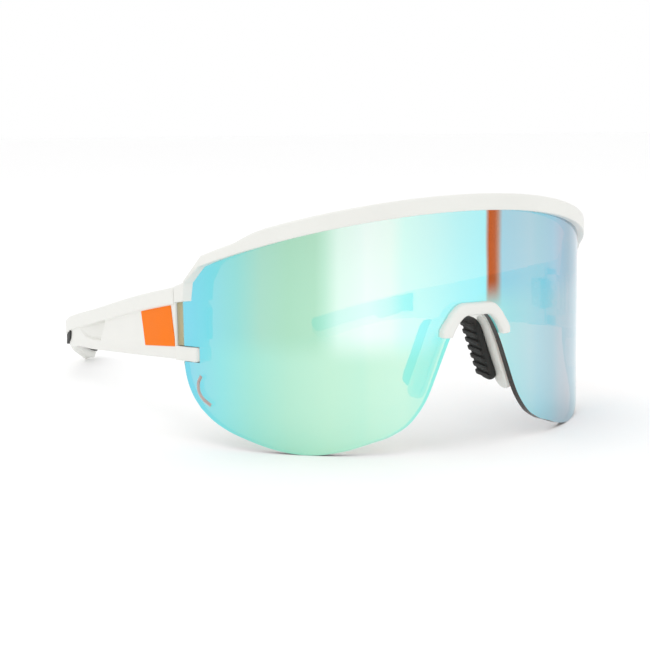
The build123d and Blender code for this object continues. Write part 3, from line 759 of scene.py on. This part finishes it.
TEMPLE_TOP = [(45, 46.2), (76.5, 40.7), (113.4, 33.4), (153, 25.8), (178, 19.2), (195, 12.6)]
TEMPLE_LOW = [(45, 24.7), (124, 18.0), (153, 15.4), (174, 10.4), (188.5, 4.6)]
TIP_SLANT = [(188.5, 4.6), (195, 12.6)]
SCOOP = [(107, 30.0), (138, 23.8), (129, 21.6), (114, 22.2)]
SCOOP_END, SCOOP_FADE = 138, 30
BADGE_LOW, BADGE_TOP, BADGE_LENGTH = (49.8, 28.2), (52.35, 40.1), 21.9
BADGE_OUTER, BADGE_BACK = 0.6, 1.2
GRIP_START, GRIP_OVER, GRIP_UNDER = 93.5, 1.3, 3.0
WINDOW_AT, WINDOW_LENGTH, WINDOW_HEIGHT = (158, 20.0), 19.0, 7.4
WINDOW_SLOPE = math.radians(16)


def along_temple(run, inset):
    """Plan point at a distance along the temple and an inset from its outer face. The heading
    starts at the splay and turns at one over the run's radius, then one over the ear's; the
    point is the integral of the heading's sine and cosine, moved square to it by the inset."""
    run, inset = np.broadcast_arrays(np.asarray(run, float), inset)
    first = np.minimum(run, RUN)
    second = np.maximum(run - RUN, 0)
    heading = SPLAY - first / RUN_RADIUS
    x = HALF_WIDTH + RUN_RADIUS * (np.cos(heading) - math.cos(SPLAY))
    y = TEMPLE_FRONT + RUN_RADIUS * (math.sin(SPLAY) - np.sin(heading))
    turned = heading - second / EAR_RADIUS
    x = x + EAR_RADIUS * (np.cos(turned) - np.cos(heading))
    y = y + EAR_RADIUS * (np.sin(heading) - np.sin(turned))
    return np.stack([x - inset * np.cos(turned), y + inset * np.sin(turned)], -1)


def on_temple(depth, height, inset):
    """Point of the temple at a depth and height of the side view and an inset."""
    runs = np.linspace(0, RUN + EAR, 600)
    run = np.interp(depth, along_temple(runs, 0.0)[:, 1], runs)
    plan = along_temple(run, inset)
    height = np.broadcast_to(height, plan.shape[:-1])
    return np.concatenate([plan, height[..., None]], -1)


def temple_low(depth):
    tip = np.where(depth > TIP_SLANT[0][0], line(depth, TIP_SLANT), 0)
    return np.maximum(bend(depth, TEMPLE_LOW), tip)


def inside_of(corners, depth, height):
    """Distance inside a convex side-view outline, given clockwise: the least distance to its
    sides."""
    corners = np.array(corners, float)
    ahead = np.roll(corners, -1, 0) - corners
    ahead = ahead / np.linalg.norm(ahead, axis=1, keepdims=True)
    off = np.stack([depth, height], -1)[..., None, :] - corners
    return (off[..., 0] * ahead[:, 1] - off[..., 1] * ahead[:, 0]).min(-1)


def temple_shell():
    """The arm: a stack of sections along the temple, each with a proud rail on top, a flat
    panel, and a band below that leans in. The inner side is thick at the hinge and thins to the
    wall. The scoop sinks the panel by a ramp that fades backwards."""
    temple = settings("temple")
    spine, band = mm(temple.spine), mm(temple.band)
    run = np.concatenate([np.linspace(0, RUN, 190)[:-1], np.linspace(RUN, RUN + EAR, 90)])
    depth = along_temple(run, 0.0)[:, 1]
    top, low = bend(depth, TEMPLE_TOP), temple_low(depth)
    inner_low = temple_low(along_temple(run, WALL)[:, 1])
    inner = line(run, [(0, 8.6), (11.1, 8.3), (17.6, WALL), (145, WALL)])
    height = top - low
    spine = np.minimum(spine, 0.45 * height)
    band = np.minimum(band, 0.3 * height)
    fade = smooth_step((RUN + EAR - run) / 12)
    panel = PANEL * fade
    zero = np.zeros_like(run)
    corners = sections((zero, top), (zero, top - spine), (panel, top - spine - 0.45),
                       (panel, low + band), (panel + 0.9 * fade, low),
                       (inner, np.minimum(inner_low, top - 2)), (inner, top))
    flats = np.linspace(0.04, 0.96, 13)
    profile = rounded(corners, (0.8, 0.35, 0.25, 0.5, 0.7, 0.8, 0.8), 3, flats)
    inset, rise = profile[..., 0], profile[..., 1]
    within = inside_of(SCOOP, np.broadcast_to(depth[:, None], rise.shape), rise)
    ramp_depth = mm(temple.scoop_depth) * np.clip((SCOOP_END - depth) / SCOOP_FADE, 0, 1)[:, None]
    outside = inset < panel[:, None] + 0.95
    inset = inset + np.where(outside, ramp_depth * smooth_step(within / 0.4), 0)
    plan = along_temple(run[:, None], inset)
    return tube_shell(np.concatenate([plan, rise[..., None]], -1), 0.5)


class SUNGLASSES_OT_temples(bpy.types.Operator):
    """Build the two temple arms"""
    bl_idname = "sunglasses.temples"
    bl_label = "Temple arms"

    def execute(self, context):
        both_sides("temple_moulding", [temple_shell()], [white_nylon()], "temple", "temple_arm")
        return {"FINISHED"}


class SUNGLASSES_OT_badges(bpy.types.Operator):
    """Build the slanted badge on each temple"""
    bl_idname = "sunglasses.badges"
    bl_label = "Temple badges"

    def execute(self, context):
        share = np.linspace(0, 1, 45)
        low = np.array(BADGE_LOW) + share[:, None] * (BADGE_LENGTH, -2.2)
        top = np.array(BADGE_TOP) + share[:, None] * (BADGE_LENGTH, -4.0)
        tall = np.linalg.norm(top - low, axis=1)
        zero = np.zeros_like(tall)
        outer, back = zero + BADGE_OUTER, zero + BADGE_BACK
        corners = sections((zero, back), (zero, outer), (tall, outer), (tall, back))
        profile = rounded(corners, 0.15, 3, np.linspace(0.05, 0.95, 9))
        way = (top - low) / tall[:, None]
        view = low[:, None] + way[:, None] * profile[..., :1]
        rings = on_temple(view[..., 0], view[..., 1], profile[..., 1])
        lacquer = moulded("Lacquer, satin orange", tuple(settings("temple").badge), 0.4, 0.8,
                          0.015, mottle=0.04, specular=0.05)
        both_sides("badge_plate", [tube_shell(rings, 0.12)], [lacquer], "temple",
                   "temple_badge")
        return {"FINISHED"}


class SUNGLASSES_OT_grips(bpy.types.Operator):
    """Build the rubber ear grips with their oval window"""
    bl_idname = "sunglasses.grips"
    bl_label = "Ear grips"

    def execute(self, context):
        run = np.linspace(GRIP_START, RUN + EAR - 0.6, 110)
        depth = along_temple(run, WALL)[:, 1]
        top, low = bend(depth, TEMPLE_TOP) - GRIP_OVER, temple_low(depth) + GRIP_UNDER
        low = np.minimum(low, top - 0.8)
        near, far = np.full_like(run, WALL - 0.1), np.full_like(run, 5.2)
        corners = sections((near, top), (far, top), (far, low), (near, low))
        profile = rounded(corners, (0.3, 0.9, 0.9, 0.3))
        groove = 0.18 * (0.5 - 0.5 * np.cos(2 * np.pi * run / 3.2))[:, None]
        inset = profile[..., 0] - np.where(profile[..., 0] > 4.6, groove, 0)
        plan = along_temple(run[:, None], inset)
        pad = tube_shell(np.concatenate([plan, profile[..., 1:]], -1), 0.5)
        turn = np.linspace(0, 2 * np.pi, 73)[:-1]
        half = WINDOW_HEIGHT / 2
        across = (WINDOW_LENGTH / 2 - half) * np.tanh(4 * np.cos(turn)) + half * np.cos(turn)
        up = (half - 0.05) * np.sin(turn)
        cos, sin = math.cos(WINDOW_SLOPE), math.sin(WINDOW_SLOPE)
        outline = np.stack([WINDOW_AT[0] + across * cos + up * sin,
                            WINDOW_AT[1] - across * sin + up * cos], -1)
        rings = stacked(outline, lambda flat, inset: on_temple(flat[:, 0], flat[:, 1], inset),
                        [(WALL, 0.05), (0.5, 0.05), (0.28, 0.2), (0.2, 0.6)])
        both_sides("grip_rubber_pad", [pad, tube_shell(rings)], [black_rubber()], "temple",
                   "ear_grip")
        return {"FINISHED"}


# ------------------------------------------------------------------ nose bridge and pads

ARM_TOP, ARM_LOW = np.array((7.6, 6.5, 37.1)), np.array((16.1, 7.4, 15.6))
ARM_WIDTH, ARM_THICK = 6.4, 1.8
PAD_MIDDLE, PAD_WIDTH, PAD_TOP = -5.2, 8.7, 3.8
RIB_MIDDLE, RIB_WIDTH, RIB_LENGTH = -5.3, 8.3, 1.5


def on_arm(flat, height):
    """Point by a nose arm's outer face: along it, across it towards the lens, and off it
    towards the nose."""
    along = (ARM_LOW - ARM_TOP) / np.linalg.norm(ARM_LOW - ARM_TOP)
    off = np.cross((0.12, 0.99, 0), along)
    off = off / np.linalg.norm(off)
    across = np.cross(off, along)
    return ARM_TOP + flat[:, :1] * along + flat[:, 1:] * across + height * off


def plank(start, length, middle, width, low, high, corner, edge):
    """Flat plank in the arm's plane with rounded ends and softened edges."""
    near, far = start, start + length
    sides = (middle - width / 2, middle + width / 2)
    outline = rounded([(near, sides[0]), (far, sides[0]), (far, sides[1]), (near, sides[1])],
                      corner, 8, (0.2, 0.5, 0.8))
    levels = [(low, edge), (low + 0.3 * edge, 0.3 * edge), (low + edge, 0), (high - edge, 0),
              (high - 0.3 * edge, 0.3 * edge), (high, edge)]
    return tube_shell(stacked(outline, on_arm, levels))


def saddle():
    """Inverted U that straddles the cut-out: each section joins a point of the outer outline
    to one of the inner outline, seen from the front, and spans the lens from front to back."""
    u = np.linspace(-5, 5, 101)
    outer = np.stack([bend(abs(u), list(enumerate((0, 5.0, 7.7, 9.7, 11.2, 11.3)))),
                      bend(abs(u), list(enumerate((41.0, 40.8, 38.9, 36.2, 33.8, 31.7))))], -1)
    inner = np.stack([bend(abs(u), list(enumerate((0, 3.6, 5.4, 6.7, 7.8, 8.3)))),
                      bend(abs(u), list(enumerate((37.6, 37.5, 36.4, 34.8, 32.9, 31.6))))], -1)
    outer[:, 0] *= np.sign(u)
    inner[:, 0] *= np.sign(u)
    width = np.linalg.norm(inner - outer, axis=1)
    front, back = np.full_like(u, RADIUS + 2.4), np.full_like(u, RADIUS - 5.2)
    zero = np.zeros_like(u)
    corners = sections((zero, front), (width, front), (width, back), (zero, back))
    profile = rounded(corners, (1.5, 1.2, 1.2, 1.5), 5)
    way = (inner - outer) / width[:, None]
    view = outer[:, None] + way[:, None] * profile[..., :1]
    y = RADIUS - np.sqrt(profile[..., 1] ** 2 - view[..., 0] ** 2)
    return tube_shell(np.stack([view[..., 0], y, view[..., 1]], -1), 0.9)


class SUNGLASSES_OT_bridge(bpy.types.Operator):
    """Build the clip-on nose bridge with its two arms"""
    bl_idname = "sunglasses.bridge"
    bl_label = "Nose bridge"

    def execute(self, context):
        arm = plank(0.6, 23.4, 0, ARM_WIDTH, 0, ARM_THICK, 3.0, 0.4)
        mesh = make_mesh("bridge_moulding", [saddle(), arm, mirrored(arm)])
        add_piece("bridge_moulding", mesh, [white_nylon()], "front", ["nose_bridge"])
        return {"FINISHED"}


class SUNGLASSES_OT_pads(bpy.types.Operator):
    """Build the ribbed rubber nose pads"""
    bl_idname = "sunglasses.pads"
    bl_label = "Nose pads"

    def execute(self, context):
        rise = mm(settings("rubber").rib_height)
        shells = [plank(1.5, 20.0, PAD_MIDDLE, PAD_WIDTH, ARM_THICK, PAD_TOP, 3.6, 0.7)]
        for along in np.linspace(3.5, 19.5, 7):
            shells.append(plank(along - RIB_LENGTH / 2, RIB_LENGTH, RIB_MIDDLE, RIB_WIDTH, 2.6,
                                PAD_TOP + rise, 0.6, 0.35))
        both_sides("pad_rubber", shells, [black_rubber()], "front", "nose_pad")
        return {"FINISHED"}


# ------------------------------------------------------------------ hinges

class SUNGLASSES_OT_hinges(bpy.types.Operator):
    """Give the steel hinge leaves, screws, rivets and nylon washers their finishes"""
    bl_idname = "sunglasses.hinges"
    bl_label = "Hinge finishes"

    def execute(self, context):
        finishes = {
            "hinge_front_leaf": steel("Stainless steel, stamped leaf", "#C9C8C2", 0.3),
            "hinge_screw": steel("Stainless steel, turned screw", "#B9B8B4", 0.24),
            "hinge_front_rivets": steel("Stainless steel, headed rivet", "#D2D1CC", 0.2),
            "hinge_washers": moulded("Nylon, natural washer", linear("#E2DDCB"), 0.5, 0.3, 0.02),
        }
        finishes["hinge_temple_leaf"] = finishes["hinge_front_leaf"]
        finishes["hinge_temple_rivets"] = finishes["hinge_front_rivets"]
        for name, material in finishes.items():
            for side in ("left", "right"):
                node = bpy.data.objects[f"{name}_{side}"]
                for slot in node.material_slots:
                    slot.material = material
        return {"FINISHED"}


# ------------------------------------------------------------------ stage

CAMERA_AT, CAMERA_TURN = (-207.7, -303.37, 83.38), (81.134, 0.183, -27.999)
LIGHT_AT, LIGHT_SIZE = (-0.25, -0.15, 1.1), 0.9


def soft_light(name, at, size, power, aim=(0, -0.03, 0.03)):
    """Square area light turned so that its face looks at a point."""
    lamp = bpy.data.lights.new(name, "AREA")
    lamp.size = size
    lamp.energy = power
    thing = bpy.data.objects.new(name, lamp)
    bpy.context.scene.collection.objects.link(thing)
    away = np.array(at) - np.array(aim)
    away = away / np.linalg.norm(away)
    thing.location = at
    thing.rotation_euler = (math.acos(away[2]), 0, math.atan2(away[1], away[0]) + math.pi / 2)
    return thing


class SUNGLASSES_OT_stage(bpy.types.Operator):
    """Set the floor, the soft lights and the camera"""
    bl_idname = "sunglasses.stage"
    bl_label = "Stage"

    def execute(self, context):
        stage = settings("stage")
        scene = context.scene
        mesh = bpy.data.meshes.new("studio_floor")
        half = 6.0
        mesh.from_pydata([(-half, -half, 0), (half, -half, 0), (half, half, 0), (-half, half, 0)],
                         [], [(0, 1, 2, 3)])
        floor = bpy.data.objects.new("studio_floor", mesh)
        scene.collection.objects.link(floor)
        mesh.materials.append(moulded("Studio board, matt white", tuple(stage.floor), 0.9, 1.5,
                                      0.01, mottle=0.004))
        world = bpy.data.worlds.new("Soft studio")
        world.use_nodes = True
        world.node_tree.nodes["Background"].inputs["Color"].default_value = (1, 1, 1, 1)
        world.node_tree.nodes["Background"].inputs["Strength"].default_value = 1.0
        scene.world = world
        scene.view_settings.view_transform = "Standard"
        soft_light("Overhead soft light", LIGHT_AT, LIGHT_SIZE, stage.key)
        camera = bpy.data.cameras.new("Camera")
        camera.lens = stage.focal
        camera.sensor_width = 36
        camera.clip_start = 0.01
        eye = bpy.data.objects.new("Camera", camera)
        scene.collection.objects.link(eye)
        eye.location = place(CAMERA_AT)
        eye.rotation_euler = np.radians(CAMERA_TURN)
        scene.camera = eye
        return {"FINISHED"}


STEPS = ("lens", "brow", "temples", "badges", "grips", "bridge", "pads", "hinges", "stage")


class SUNGLASSES_PT_panel(bpy.types.Panel):
    """Sizes, colours and build steps of the sunglasses"""
    bl_idname = "SUNGLASSES_PT_panel"
    bl_label = "Sport sunglasses"
    bl_space_type = "VIEW_3D"
    bl_region_type = "UI"
    bl_category = "Sunglasses"

    def draw(self, context):
        for name, group in GROUPS.items():
            box = self.layout.box()
            for key in group.__annotations__:
                box.prop(settings(name), key)
        for step in STEPS:
            self.layout.operator("sunglasses." + step)


GROUPS = {"lens": LensSettings, "frame": FrameSettings, "temple": TempleSettings,
          "rubber": RubberSettings, "stage": StageSettings}
OPERATORS = (SUNGLASSES_OT_lens, SUNGLASSES_OT_brow, SUNGLASSES_OT_temples,
             SUNGLASSES_OT_badges, SUNGLASSES_OT_grips, SUNGLASSES_OT_bridge,
             SUNGLASSES_OT_pads, SUNGLASSES_OT_hinges, SUNGLASSES_OT_stage)


def register():
    for item in (*GROUPS.values(), *OPERATORS, SUNGLASSES_PT_panel):
        bpy.utils.register_class(item)
    for name, group in GROUPS.items():
        setattr(bpy.types.Scene, "sunglasses_" + name, PointerProperty(type=group))


def unregister():
    for name in GROUPS:
        delattr(bpy.types.Scene, "sunglasses_" + name)
    for item in (SUNGLASSES_PT_panel, *OPERATORS, *GROUPS.values()):
        bpy.utils.unregister_class(item)


def main():
    register()
    for step in STEPS:
        getattr(bpy.ops.sunglasses, step)()


if __name__ == "__main__":
    main()
